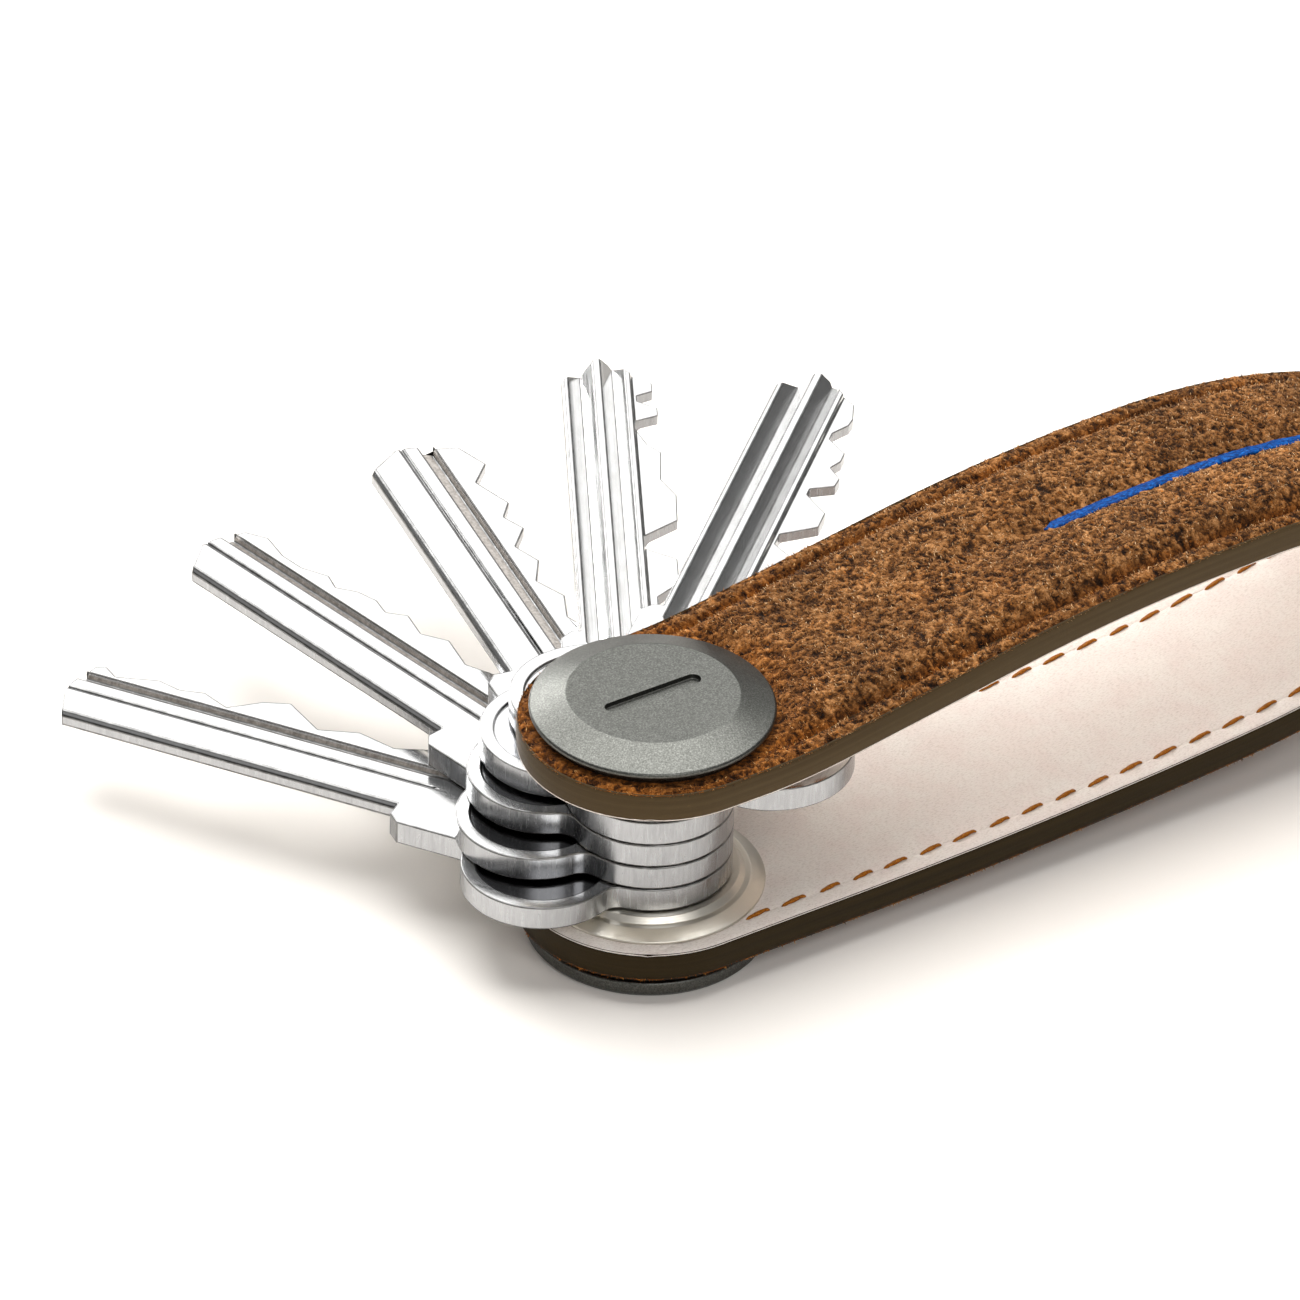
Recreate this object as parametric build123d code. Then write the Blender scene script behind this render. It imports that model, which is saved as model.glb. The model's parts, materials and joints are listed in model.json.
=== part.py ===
from build123d import *
import math
import os

# Pivoting key organiser: a folded strap holds a stack of keys on one threaded post.
# Millimetres. The origin is on the post's axis, on the face that the lower disc rests on.
# +X runs along the strap towards its fold, and +Z is up.

# Strap
STRAP_HALF_WIDTH = 10.9
SUEDE = 0.7
CORE = 1.6
LINING = 0.5
STRAP_THICK = SUEDE + CORE + LINING
LOWER_FACE_Z = 2.25          # underside of the lower arm at the post
UPPER_FACE_Z = 20.9          # top of the upper arm at the post
STRAP_START_X = -12.0        # the bands start beyond the rounded end that trims them
FOLD_X = 78.0                # centre of the fold, which the upper arm also turns about
FOLD_GAP_DEG = 13.0          # wedge left in the fold, for the arm's 10 degrees of opening
# Shape of the arms from the post to the fold: level, then arcs given by radius and turn
LOWER_LEVEL_END_X = 13.0
LOWER_SWEEP_R = 470.0
LOWER_SWEEP_RUN = 39.0
LOWER_LIFT_R = 110.0
LOWER_LIFT_DEG = 3.6
UPPER_LEVEL_END_X = 3.5
UPPER_RISE_R = 46.0
UPPER_RISE_DEG = 9.3
UPPER_SLOPE_RUN = 18.0
UPPER_CROWN_R = 160.0
UPPER_FALL_R = 60.0
UPPER_FALL_DEG = 17.0

# Discs, plates and post
DISC_R = 10.0
DISC_FLAT_R = 7.05
DISC_BEVEL = 1.05
DISC_RIM = 0.5
DISC_EDGE = 0.12
DISC_NECK_R = 9.4
FOOT_FLAT_R = 9.65           # the lower disc has a small bevel and a tall rim
FOOT_BEVEL = 0.3
FOOT_RIM = 1.15
PLATE_R = 9.6
PLATE_BEVEL_R = 8.4
PLATE_STEP_R = 7.8
PLATE_EDGE = 0.2
POST_R = 2.5
POST_BORE_R = 1.5
POST_FOOT_Z = 0.7
POST_BORE_FLOOR = 2.0        # the bore's floor above the post's foot
STUD_R = 1.3
STUD_SHANK_R = 1.9
STUD_TIP_Z = 13.6
EYELET_R = 3.4
EYELET_FLANGE_R = 4.3
EYELET_FLANGE = 0.3
LOWER_EYELET_BORE_R = POST_R + 0.02
UPPER_EYELET_BORE_R = STUD_SHANK_R + 0.06
SLOT_WIDTH = 1.3
SLOT_DEPTH = 0.45
SLOT_LENGTH = 9.0

# Keys
KEY_THICK = 2.1
KEY_PITCH = 2.2
FIRST_KEY_Z = 6.4
KEY_BORE_R = POST_R + 0.08
KEY_COUNT = 5
BOW_R = 6.85
BOW_FILLET = 1.6
BOW_RIM = 1.2
BOW_RECESS = 0.25
BLADE_LIFT = 0.45            # the blade's underside stands this far above the bow's
NECK_HALF_WIDTH = 4.4
NECK_START_U = 5.0
NECK_END_U = 19.5
STOP_OUTLINE = ((13, 3), (13, 6.5), (19.6, 6.5), (20.6, 5.6), (20.6, 3))
GROOVE_FULL_U = 19.0
GROOVE_END_U = 15.5
STACK_TOP_Z = FIRST_KEY_Z + (KEY_COUNT - 1) * KEY_PITCH + KEY_THICK

# Stitching and inlay
STITCH_PITCH = 3.4
STITCH_LENGTH = 2.3
STITCH_WIDTH = 0.55
STITCH_PROUD = 0.08
STITCH_SUNK = 0.2
NEAR_ROW_Y = -9.1            # the two rows of stitches lie at these distances across the strap
FAR_ROW_Y = 6.9
STITCH_GAP = 1.65            # from the plate's edge to the middle of a row's first stitch
STITCH_END_X = 76.0
INLAY_WIDTH = 1.1
INLAY_DEPTH = 0.3
INLAY_START_X = 38.0
INLAY_END_X = 74.0


def normal(heading):
    """Unit vector to the left of a heading in the XZ plane, heading in degrees."""
    turn = math.radians(heading)
    return -math.sin(turn), math.cos(turn)


def leg_point(leg, share, offset):
    """Point at a share of a leg's length, offset to the left of the way it runs."""
    (x, z), heading, radius, turn, length = leg
    here = heading + turn * share
    nx, nz = normal(here)
    if radius:
        sx, sz = normal(heading)
        x, z = x + radius * (sx - nx), z + radius * (sz - nz)
    else:
        along = math.radians(heading)
        x, z = x + length * share * math.cos(along), z + length * share * math.sin(along)
    return x + offset * nx, z + offset * nz


def straight(start, heading, length):
    return start, heading, 0, 0, length


def bend(start, heading, radius, turn):
    """Arc with a signed radius: a left turn has both signs positive."""
    return start, heading, radius, turn, abs(radius * math.radians(turn))


def extend(legs, make, *values):
    """Add a tangent leg after the last one."""
    last = legs[-1]
    legs.append(make(leg_point(last, 1, 0), last[1] + last[3], *values))


def arm_legs():
    """Outer faces of the lower and upper arms, each up to the wedge in the fold."""
    lower = [straight((STRAP_START_X, LOWER_FACE_Z), 0, LOWER_LEVEL_END_X - STRAP_START_X)]
    sweep = math.degrees(math.asin(LOWER_SWEEP_RUN / LOWER_SWEEP_R))
    extend(lower, bend, LOWER_SWEEP_R, sweep)
    extend(lower, bend, LOWER_LIFT_R, LOWER_LIFT_DEG)
    upper = [straight((STRAP_START_X, UPPER_FACE_Z), 0, UPPER_LEVEL_END_X - STRAP_START_X)]
    extend(upper, bend, UPPER_RISE_R, UPPER_RISE_DEG)
    extend(upper, straight, UPPER_SLOPE_RUN)
    extend(upper, bend, -UPPER_CROWN_R, -UPPER_RISE_DEG)
    extend(upper, bend, -UPPER_FALL_R, -UPPER_FALL_DEG)
    ends = []
    for legs in (lower, upper):
        (x, z), heading = leg_point(legs[-1], 1, 0), legs[-1][1] + legs[-1][3]
        slope = math.radians(heading)
        ends.append((z + (FOLD_X - x) * math.tan(slope), math.cos(slope), heading))
    (low_z, low_cos, low_heading), (high_z, high_cos, high_heading) = ends
    centre_z = (low_z * low_cos + high_z * high_cos) / (low_cos + high_cos)
    radius = (high_z - centre_z) * high_cos
    for legs, side, heading in ((lower, 1, low_heading), (upper, -1, high_heading)):
        x, z = leg_point(legs[-1], 1, 0)
        nx, nz = normal(heading)
        reach = math.hypot(FOLD_X - side * radius * nx - x, centre_z - side * radius * nz - z)
        extend(legs, straight, reach)
        extend(legs, bend, side * radius, side * (90 - FOLD_GAP_DEG / 2) - heading)
    return lower, upper, centre_z


LOWER_LEGS, UPPER_LEGS, FOLD_Z = arm_legs()


def band(legs, side, near, far):
    """Face between two depths below the outer face; side is where the inner face lies."""
    edges, corners = [], []
    for depth in (near, far):
        for leg in legs:
            start, middle, end = (leg_point(leg, share, side * depth) for share in (0, 0.5, 1))
            edges.append(ThreePointArc(start, middle, end) if leg[2] else Line(start, end))
        corners.append((leg_point(legs[0], 0, side * depth), leg_point(legs[-1], 1, side * depth)))
    edges += [Line(corners[0][0], corners[1][0]), Line(corners[0][1], corners[1][1])]
    return make_face(edges)


def strap_plan(half_width, start_x, end_x):
    """Tall prism of the strap's outline seen from above."""
    length = end_x - start_x
    outline = Pos((start_x + end_x) / 2, 0) * Rectangle(length, 2 * half_width)
    if start_x == 0:
        outline += Circle(half_width)
    return Pos(0, 0, -5) * extrude(outline, 60)


def layer(legs, side, near, far):
    """One layer of an arm, trimmed to the strap's rounded outline."""
    slab = extrude(Plane.XZ * band(legs, side, near, far), STRAP_HALF_WIDTH + 3, both=True)
    return slab & strap_plan(STRAP_HALF_WIDTH, 0, 120)


def rod(radius, low, high):
    return Pos(0, 0, low) * extrude(Circle(radius), high - low)


def ring(outer, inner, low, high):
    return rod(outer, low, high) - rod(inner, low, high)


def flip(shape, height):
    """Turn a shape upside down about a level plane at half this height."""
    return Pos(0, 0, height) * Rot(180, 0, 0) * shape


def disc_blank(flat_r, bevel, rim):
    """Disc standing on its outer flat at z = 0, with its neck up against the strap."""
    rim_low, rim_high = bevel, bevel + rim
    edge_r = DISC_R - DISC_EDGE
    profile = Polyline(
        (0, 0), (flat_r, 0), (edge_r, rim_low), (DISC_R, rim_low + DISC_EDGE),
        (DISC_R, rim_high - DISC_EDGE), (edge_r, rim_high), (DISC_NECK_R, rim_high),
        (DISC_NECK_R, LOWER_FACE_Z), (0, LOWER_FACE_Z), close=True,
    )
    blank = revolve(Plane.XZ * make_face(profile), Axis.Z)
    return blank - rod(EYELET_FLANGE_R + 0.05, LOWER_FACE_Z - EYELET_FLANGE, LOWER_FACE_Z)


def lower_disc():
    blank = disc_blank(FOOT_FLAT_R, FOOT_BEVEL, FOOT_RIM)
    return blank - rod(POST_R, POST_FOOT_Z, LOWER_FACE_Z)


def top_disc():
    """The disc that is turned to lock the stack, with a coin slot across it."""
    top_z = UPPER_FACE_Z + LOWER_FACE_Z
    slot = Pos(0, 0, top_z - SLOT_DEPTH) * extrude(SlotOverall(SLOT_LENGTH, SLOT_WIDTH), 1)
    blank = flip(disc_blank(DISC_FLAT_R, DISC_BEVEL, DISC_RIM), top_z)
    return blank - slot - rod(STUD_SHANK_R, 0, top_z - SLOT_DEPTH - 0.5)


def lock_stud():
    top_z = UPPER_FACE_Z + LOWER_FACE_Z - SLOT_DEPTH - 0.5
    return rod(STUD_R, STUD_TIP_Z, STACK_TOP_Z + 0.4) + rod(STUD_SHANK_R, STACK_TOP_Z + 0.3, top_z)


def post_barrel():
    return rod(POST_R, POST_FOOT_Z, STACK_TOP_Z) - rod(POST_BORE_R, POST_FOOT_Z + POST_BORE_FLOOR, STACK_TOP_Z)


def inner_plate(rim_z, face_z):
    """Dished plate: a bevelled rim against the lining, a narrow step, and a flat for the keys."""
    rise = face_z - rim_z
    direction = math.copysign(1, rise)
    step_z = rim_z + 0.6 * rise
    profile = Polyline(
        (EYELET_R, rim_z), (PLATE_R, rim_z), (PLATE_R, rim_z + direction * PLATE_EDGE),
        (PLATE_BEVEL_R, step_z), (PLATE_STEP_R + 0.1, step_z), (PLATE_STEP_R - 0.3, face_z),
        (EYELET_R, face_z), close=True,
    )
    return revolve(Plane.XZ * make_face(profile), Axis.Z)


def eyelet(bore_r, strap_z, far_z):
    """Tube through the strap, with a flange on the suede side at strap_z."""
    direction = 1 if far_z > strap_z else -1
    flange_z = strap_z - direction * EYELET_FLANGE
    tube = ring(EYELET_R, bore_r, min(strap_z, far_z), max(strap_z, far_z))
    return tube + ring(EYELET_FLANGE_R, bore_r, min(strap_z, flange_z), max(strap_z, flange_z))


def stitching(legs, side):
    """Two rows of stitches set into the lining, one along each edge."""
    depth = side * (STRAP_THICK - STITCH_SUNK / 2 + STITCH_PROUD / 2)
    tall = STITCH_SUNK + STITCH_PROUD
    stitches, travelled = [], 0
    for leg in legs:
        while travelled < leg[4]:
            share = travelled / leg[4]
            x, z = leg_point(leg, share, depth)
            for y in (NEAR_ROW_Y, FAR_ROW_Y):
                plate_edge_x = math.sqrt(PLATE_R ** 2 - y ** 2)
                if plate_edge_x + STITCH_GAP < x < STITCH_END_X:
                    place = Pos(x, y, z)
                    tilt = Rot(0, -(leg[1] + leg[3] * share), 0)
                    stitches.append(place * tilt * Box(STITCH_LENGTH, STITCH_WIDTH, tall))
            travelled += STITCH_PITCH
        travelled -= leg[4]
    return Compound(children=stitches)


def inlay(near, far, half_width):
    """Narrow strip along the middle of the upper arm, between two depths below its face."""
    slab = extrude(Plane.XZ * band(UPPER_LEGS, -1, near, far), STRAP_HALF_WIDTH, both=True)
    return slab & strap_plan(half_width, INLAY_START_X, INLAY_END_X)


# Blade sections as (v, height) outlines: v is across the blade, positive on its smooth back.
FLAT_SECTION = (
    (4.4, 0.85), (4.4, 1.75), (4.05, 2.1), (-2.0, 2.1), (-2.0, 1.85), (-5.4, 1.85), (-5.4, 0.95),
    (-1.8, 0.95), (-1.3, BLADE_LIFT), (1.2, BLADE_LIFT), (1.6, 1.0), (2.4, 1.0), (2.8, BLADE_LIFT),
    (4.0, BLADE_LIFT),
)
VEE_SECTION = (
    (5.0, 0.7), (5.0, 1.85), (4.8, 2.1), (-0.95, 2.1), (-1.1, 1.8), (-4.4, 1.8), (-4.4, 0.85),
    (-1.5, 0.85), (-1.1, BLADE_LIFT), (-0.3, BLADE_LIFT), (0.0, 0.75), (1.1, 0.75),
    (1.4, BLADE_LIFT), (4.6, BLADE_LIFT),
)
# Grooves milled along the top of each blade, as (v, height) outlines that reach above it.
FLAT_GROOVES = (
    ((1.0, 3.1), (1.0, 2.1), (0.85, 1.9), (0.7, 2.1), (0.7, 3.1)),
    ((-0.6, 3.1), (-0.6, 2.1), (-0.85, 1.35), (-1.8, 1.25), (-2.05, 2.1), (-2.05, 3.1)),
)
VEE_GROOVES = (
    ((4.4, 3.1), (4.4, 2.1), (3.3, 1.15), (2.2, 2.1), (2.2, 3.1)),
    ((1.55, 3.1), (1.55, 2.1), (0.5, 1.15), (-0.5, 2.1), (-0.5, 3.1)),
)

# Each kind of blank: section, grooves, the side lobes of its bow as (u, v, radius), and its back.
ROUND_LOBES = ((6.75, 6.4, 6.5), (6.75, -6.4, 6.5))
LARGE_LOBES = ((6.7, 6.7, 7.0), (6.7, -6.7, 7.0))
LOPSIDED_LOBES = ((6.7, 6.7, 7.0), (4.6, -8.6, 7.0))
FLAT_BLANK = dict(section=FLAT_SECTION, grooves=FLAT_GROOVES, lobes=ROUND_LOBES, back=4.4)
VEE_BLANK = dict(section=VEE_SECTION, grooves=VEE_GROOVES, lobes=LARGE_LOBES, back=5.0)
LOPSIDED_BLANK = dict(VEE_BLANK, lobes=LOPSIDED_LOBES)
BLADE_START_U = 15.0

# Name, blank, angle in the fan in degrees, the tip's u, how far the back stops short of it, and
# the cut edge from tip to bow as (distance from the tip, width of blade left there).
KEYS = (
    ("key_a", FLAT_BLANK, 122.8, 52.3, 1.2, (
        (0.6, 7.4), (1.4, 7.9), (2.8, 6.9), (6.3, 8.0), (8.4, 7.5), (10.5, 8.0), (13.0, 6.9),
        (15.4, 8.9), (17.6, 9.7), (21.2, 7.3), (24.5, 8.4), (28.0, 7.6), (31.0, 8.8))),
    ("key_b", FLAT_BLANK, 99.6, 53.9, 2.2, (
        (0.6, 7.3), (2.6, 8.2), (5.4, 7.4), (7.8, 7.4), (10.2, 8.3), (11.9, 7.6), (13.6, 8.6),
        (15.6, 8.9), (17.4, 8.3), (19.0, 9.4), (21.7, 8.4), (24.0, 9.5), (27.5, 8.2), (31.0, 9.3))),
    ("key_c", FLAT_BLANK, 78.6, 54.7, 2.4, (
        (1.0, 8.4), (4.2, 9.7), (6.6, 7.9), (10.4, 9.4), (12.3, 8.2), (14.4, 9.2), (16.8, 7.5),
        (19.4, 8.6), (22.2, 7.3), (25.0, 8.7), (28.0, 7.8), (31.0, 9.0))),
    ("key_d", VEE_BLANK, 59.3, 62.0, 3.5, (
        (2.7, 6.4), (3.4, 7.8), (4.7, 7.8), (5.4, 6.4), (6.3, 6.4), (7.3, 8.1), (8.5, 8.1),
        (9.4, 6.0), (10.4, 6.0), (13.0, 7.0), (14.2, 8.1), (18.4, 7.9), (20.8, 9.1), (24.6, 9.0),
        (27.0, 6.0), (28.8, 6.0), (30.4, 8.7), (34.0, 8.7), (36.0, 6.8), (38.0, 6.8), (39.6, 8.8))),
    ("key_e", LOPSIDED_BLANK, 40.7, 58.6, 2.9, (
        (2.4, 5.9), (3.4, 7.2), (5.6, 7.7), (6.6, 7.6), (8.2, 6.6), (9.2, 6.6), (10.9, 8.4),
        (12.2, 8.4), (13.4, 7.8), (14.8, 9.0), (16.0, 8.9), (17.0, 7.0), (18.0, 7.0), (20.2, 9.2),
        (22.4, 9.2), (24.4, 6.4), (26.0, 6.4), (28.0, 8.9), (31.0, 8.9), (33.0, 6.8), (34.6, 8.8))),
)
TOOTH_FILLET = 0.22


def blade_plan(back, tip, back_short, cut_edge):
    """Blade seen from above: a straight back, a pointed tip and the cut edge."""
    points = [(BLADE_START_U, back), (tip - back_short, back), (tip, back - 3.0), (tip, back - 4.2)]
    teeth = [(tip - along, back - width) for along, width in cut_edge]
    end = (BLADE_START_U, teeth[-1][1])
    outline = make_face(Polyline(*points, *teeth, end, close=True))
    rounded = [v for v in outline.vertices() if v.Y < back - 5 and v.X > BLADE_START_U + 1]
    return fillet(rounded, TOOTH_FILLET)


def bow_plan(lobes):
    """Trefoil bow: one lobe round the post and one to each side, blended where they meet."""
    outline = Circle(BOW_R)
    for u, v, radius in lobes:
        outline += Pos(u, v) * Circle(radius)
    neck = Rectangle(NECK_END_U - NECK_START_U, 2 * NECK_HALF_WIDTH)
    outline += Pos((NECK_START_U + NECK_END_U) / 2, 0) * neck
    waists = [v for v in outline.vertices() if abs(v.Y) > 3 and v.X < 16]
    return fillet(waists, BOW_FILLET)


def groove(outline, length):
    """Cutter for a groove that runs the blade's length and climbs out to a point in the bow."""
    face = make_face(Polyline(*outline, close=True))
    run = extrude(Plane.YZ.offset(GROOVE_FULL_U) * face, length)
    middle = sum(v for v, _ in outline) / len(outline)
    risen = [(middle + 0.1 * (v - middle), z + KEY_THICK - 1.1) for v, z in outline]
    point = make_face(Polyline(*risen, close=True))
    return run + loft([Plane.YZ.offset(GROOVE_FULL_U) * face, Plane.YZ.offset(GROOVE_END_U) * point])


def key(kind, tip, back_short, cut_edge):
    """A key lying flat, its hole at the origin and its blade along +X."""
    head = extrude(bow_plan(kind["lobes"]), KEY_THICK)
    face = offset(Circle(BOW_R), -BOW_RIM)
    for u, v, radius in kind["lobes"]:
        face += Pos(u, v) * Circle(radius - BOW_RIM)
    head -= extrude(face, BOW_RECESS) + Pos(0, 0, KEY_THICK - BOW_RECESS) * extrude(face, 1)
    head += rod(BOW_R - 2, 0, KEY_THICK)
    head += extrude(make_face(Polyline(*STOP_OUTLINE, close=True)), KEY_THICK)
    section = make_face(Polyline(*kind["section"], close=True))
    length = tip - BLADE_START_U + 1
    bar = extrude(Plane.YZ.offset(BLADE_START_U) * section, length)
    blank = head + (bar & extrude(blade_plan(kind["back"], tip, back_short, cut_edge), KEY_THICK))
    for outline in kind["grooves"]:
        blank -= groove(outline, length)
    return blank - rod(KEY_BORE_R, 0, KEY_THICK)


def build():
    parts = {}
    lining_face = STRAP_THICK
    strap = {"suede": (0, SUEDE), "core": (SUEDE, SUEDE + CORE), "lining": (SUEDE + CORE, lining_face)}
    disc_seat = rod(DISC_R + 0.15, UPPER_FACE_Z, UPPER_FACE_Z + 10)
    for arm, legs, side in (("lower", LOWER_LEGS, 1), ("upper", UPPER_LEGS, -1)):
        for name, (near, far) in strap.items():
            parts[f"{arm}_{name}"] = layer(legs, side, near, far) - rod(EYELET_R + 0.03, 0, 40)
        parts[f"{arm}_stitching"] = stitching(legs, side)
    parts["upper_suede"] -= disc_seat + inlay(-1, INLAY_DEPTH + 0.02, INLAY_WIDTH / 2)
    parts["accent_inlay"] = inlay(0.06, INLAY_DEPTH, INLAY_WIDTH / 2)

    lower_lining_z = LOWER_FACE_Z + STRAP_THICK
    upper_lining_z = UPPER_FACE_Z - STRAP_THICK
    parts["lower_disc"] = lower_disc()
    parts["post_barrel"] = post_barrel()
    parts["lower_eyelet"] = eyelet(LOWER_EYELET_BORE_R, LOWER_FACE_Z, FIRST_KEY_Z - 0.1)
    parts["lower_inner_plate"] = inner_plate(lower_lining_z, FIRST_KEY_Z - 0.1)
    parts["upper_eyelet"] = eyelet(UPPER_EYELET_BORE_R, UPPER_FACE_Z, STACK_TOP_Z + 0.1)
    parts["upper_inner_plate"] = inner_plate(upper_lining_z, STACK_TOP_Z + 0.1)
    parts["top_disc"] = top_disc()
    parts["lock_stud"] = lock_stud()

    for place, (name, kind, angle, tip, back_short, cut_edge) in enumerate(KEYS):
        height = FIRST_KEY_Z + place * KEY_PITCH
        parts[name] = Pos(0, 0, height) * Rot(0, 0, angle) * key(kind, tip, back_short, cut_edge)
    return parts


os.makedirs("parts", exist_ok=True)
print("fold centre", FOLD_X, round(FOLD_Z, 3), "stack top", round(STACK_TOP_Z, 2))
for name, shape in build().items():
    export_step(shape, f"parts/{name}.step")
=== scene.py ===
import json
import math

import bmesh
import bpy
import numpy as np
from mathutils import Matrix, Vector


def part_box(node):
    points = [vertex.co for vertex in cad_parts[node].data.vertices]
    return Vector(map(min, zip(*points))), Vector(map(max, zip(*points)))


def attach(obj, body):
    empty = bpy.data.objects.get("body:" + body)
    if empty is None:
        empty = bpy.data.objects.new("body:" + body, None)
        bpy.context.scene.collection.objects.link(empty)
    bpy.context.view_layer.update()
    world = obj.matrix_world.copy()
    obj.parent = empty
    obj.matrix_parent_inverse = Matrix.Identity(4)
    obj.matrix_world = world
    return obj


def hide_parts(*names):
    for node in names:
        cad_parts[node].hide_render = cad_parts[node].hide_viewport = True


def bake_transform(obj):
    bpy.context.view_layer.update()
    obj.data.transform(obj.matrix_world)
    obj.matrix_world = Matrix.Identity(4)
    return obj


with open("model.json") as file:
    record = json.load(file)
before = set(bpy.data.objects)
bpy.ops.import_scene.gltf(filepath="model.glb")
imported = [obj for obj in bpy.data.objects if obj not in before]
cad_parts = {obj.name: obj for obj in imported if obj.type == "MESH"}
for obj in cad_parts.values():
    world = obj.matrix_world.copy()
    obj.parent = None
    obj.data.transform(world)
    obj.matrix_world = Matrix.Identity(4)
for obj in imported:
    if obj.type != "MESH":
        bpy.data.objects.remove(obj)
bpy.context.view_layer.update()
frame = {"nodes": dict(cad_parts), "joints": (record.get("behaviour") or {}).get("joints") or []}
MM = 0.001

# ---------------------------------------------------------------- strap dimensions, millimetres
HALF_WIDTH = 10.9
SUEDE, CORE, LINING = 0.7, 1.6, 0.5
THICK = SUEDE + CORE + LINING
LOWER_FACE_Z, UPPER_FACE_Z = 2.25, 20.9
LOWER_LEVEL_END_X, UPPER_LEVEL_END_X = 13.0, 3.5
LOWER_SWEEP_R, LOWER_SWEEP_RUN = 470.0, 39.0
LOWER_LIFT_R, LOWER_LIFT_DEG = 110.0, 3.6
UPPER_RISE_R, UPPER_RISE_DEG, UPPER_SLOPE_RUN = 46.0, 9.3, 18.0
UPPER_CROWN_R, UPPER_FALL_R, UPPER_FALL_DEG = 160.0, 60.0, 17.0
FOLD = Vector(next(j["pos_m"] for j in frame["joints"] if j["name"] == "arm_open")) / MM
DISC_R, PLATE_R = 10.0, 9.6
NEAR_ROW_Y, FAR_ROW_Y = -9.1, 6.9
STITCH_PITCH, STITCH_LENGTH, STITCH_GAP = 3.4, 2.3, 1.65
THREAD_R, THREAD_STRETCH = 0.21, 1.16  # the thread runs on into its holes, past the visible stitch
KEY_BOW_REACH = 14.6                   # plan distance from the post to the end of a key's bow
KEY_ANGLES = {"key_a": 122.8, "key_b": 99.6, "key_c": 78.6, "key_d": 59.3, "key_e": 40.7}
FLAT_KEYS = ("key_a", "key_b", "key_c")
# painted reflection and shade in each key's bow recess: darker on the lower keys, which lie under the
# others
RECESS_SHADE_TONES = {"key_a": 0.20, "key_b": 0.16, "key_c": 0.42, "key_d": 0.80, "key_e": 0.80}


# ---------------------------------------------------------------- path of the folded strap
def normal(heading):
    """Unit vector to the left of a heading in degrees."""
    turn = math.radians(heading)
    return np.array([-math.sin(turn), math.cos(turn)])


def ahead(heading):
    turn = math.radians(heading)
    return np.array([math.cos(turn), math.sin(turn)])


class Leg:
    """A straight (radius 0) or an arc of the strap's outer face, in the XZ plane."""

    def __init__(self, start, heading, radius, amount):
        self.start, self.heading, self.radius = np.array(start, float), heading, radius
        self.turn = amount if radius else 0.0
        self.length = abs(radius * math.radians(amount)) if radius else amount

    def point(self, share, depth=0.0):
        """Place at a share of the length, at a depth to the left of the way the leg runs."""
        here = self.heading + self.turn * share
        if self.radius:
            base = self.start + self.radius * (normal(self.heading) - normal(here))
        else:
            base = self.start + self.length * share * ahead(self.heading)
        return base + depth * normal(here)

    def reversed(self):
        return Leg(self.point(1), self.heading + self.turn + 180, -self.radius,
                   -self.turn if self.radius else self.length)


def chain(start, moves):
    legs, heading = [], 0.0
    for radius, amount in moves:
        legs.append(Leg(start, heading, radius, amount))
        start, heading = legs[-1].point(1), heading + legs[-1].turn
    return legs


def strap_legs():
    """The outer face from the lower arm's rounded end, round the fold, to the upper one's."""
    sweep = math.degrees(math.asin(LOWER_SWEEP_RUN / LOWER_SWEEP_R))
    lower = chain((-HALF_WIDTH, LOWER_FACE_Z), [
        (0, LOWER_LEVEL_END_X + HALF_WIDTH), (LOWER_SWEEP_R, sweep), (LOWER_LIFT_R, LOWER_LIFT_DEG)])
    upper = chain((-HALF_WIDTH, UPPER_FACE_Z), [
        (0, UPPER_LEVEL_END_X + HALF_WIDTH), (UPPER_RISE_R, UPPER_RISE_DEG), (0, UPPER_SLOPE_RUN),
        (-UPPER_CROWN_R, -UPPER_RISE_DEG), (-UPPER_FALL_R, -UPPER_FALL_DEG)])
    centre = np.array([FOLD.x, FOLD.z])
    reaches = []
    for legs in (lower, upper):
        end, heading = legs[-1].point(1), legs[-1].heading + legs[-1].turn
        left = centre - end
        reaches.append((end, heading, left @ ahead(heading), left @ normal(heading)))
    (low_end, low_heading, low_reach, radius), (_, high_heading, high_reach, _) = reaches
    into_fold = Leg(low_end, low_heading, 0, low_reach)
    fold = Leg(into_fold.point(1), low_heading, radius, 180 + high_heading - low_heading)
    out_of_fold = Leg(fold.point(1), 180 + high_heading, 0, high_reach)
    return lower + [into_fold, fold, out_of_fold] + [leg.reversed() for leg in reversed(upper)]


LEGS = strap_legs()
STARTS = np.cumsum([0] + [leg.length for leg in LEGS])
STRAP_LENGTH = float(STARTS[-1])
FOLD_LEG = 4
FOLD_S = float((STARTS[FOLD_LEG] + STARTS[FOLD_LEG + 1]) / 2)


def strap_frame(s):
    """Heading in radians and leg number at each length s along the outer face."""
    leg = np.clip(np.searchsorted(STARTS, s, side="right") - 1, 0, len(LEGS) - 1)
    share = (s - STARTS[leg]) / np.array([g.length for g in LEGS])[leg]
    headings = np.array([g.heading for g in LEGS])[leg]
    return np.radians(headings + np.array([g.turn for g in LEGS])[leg] * share), leg


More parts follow.
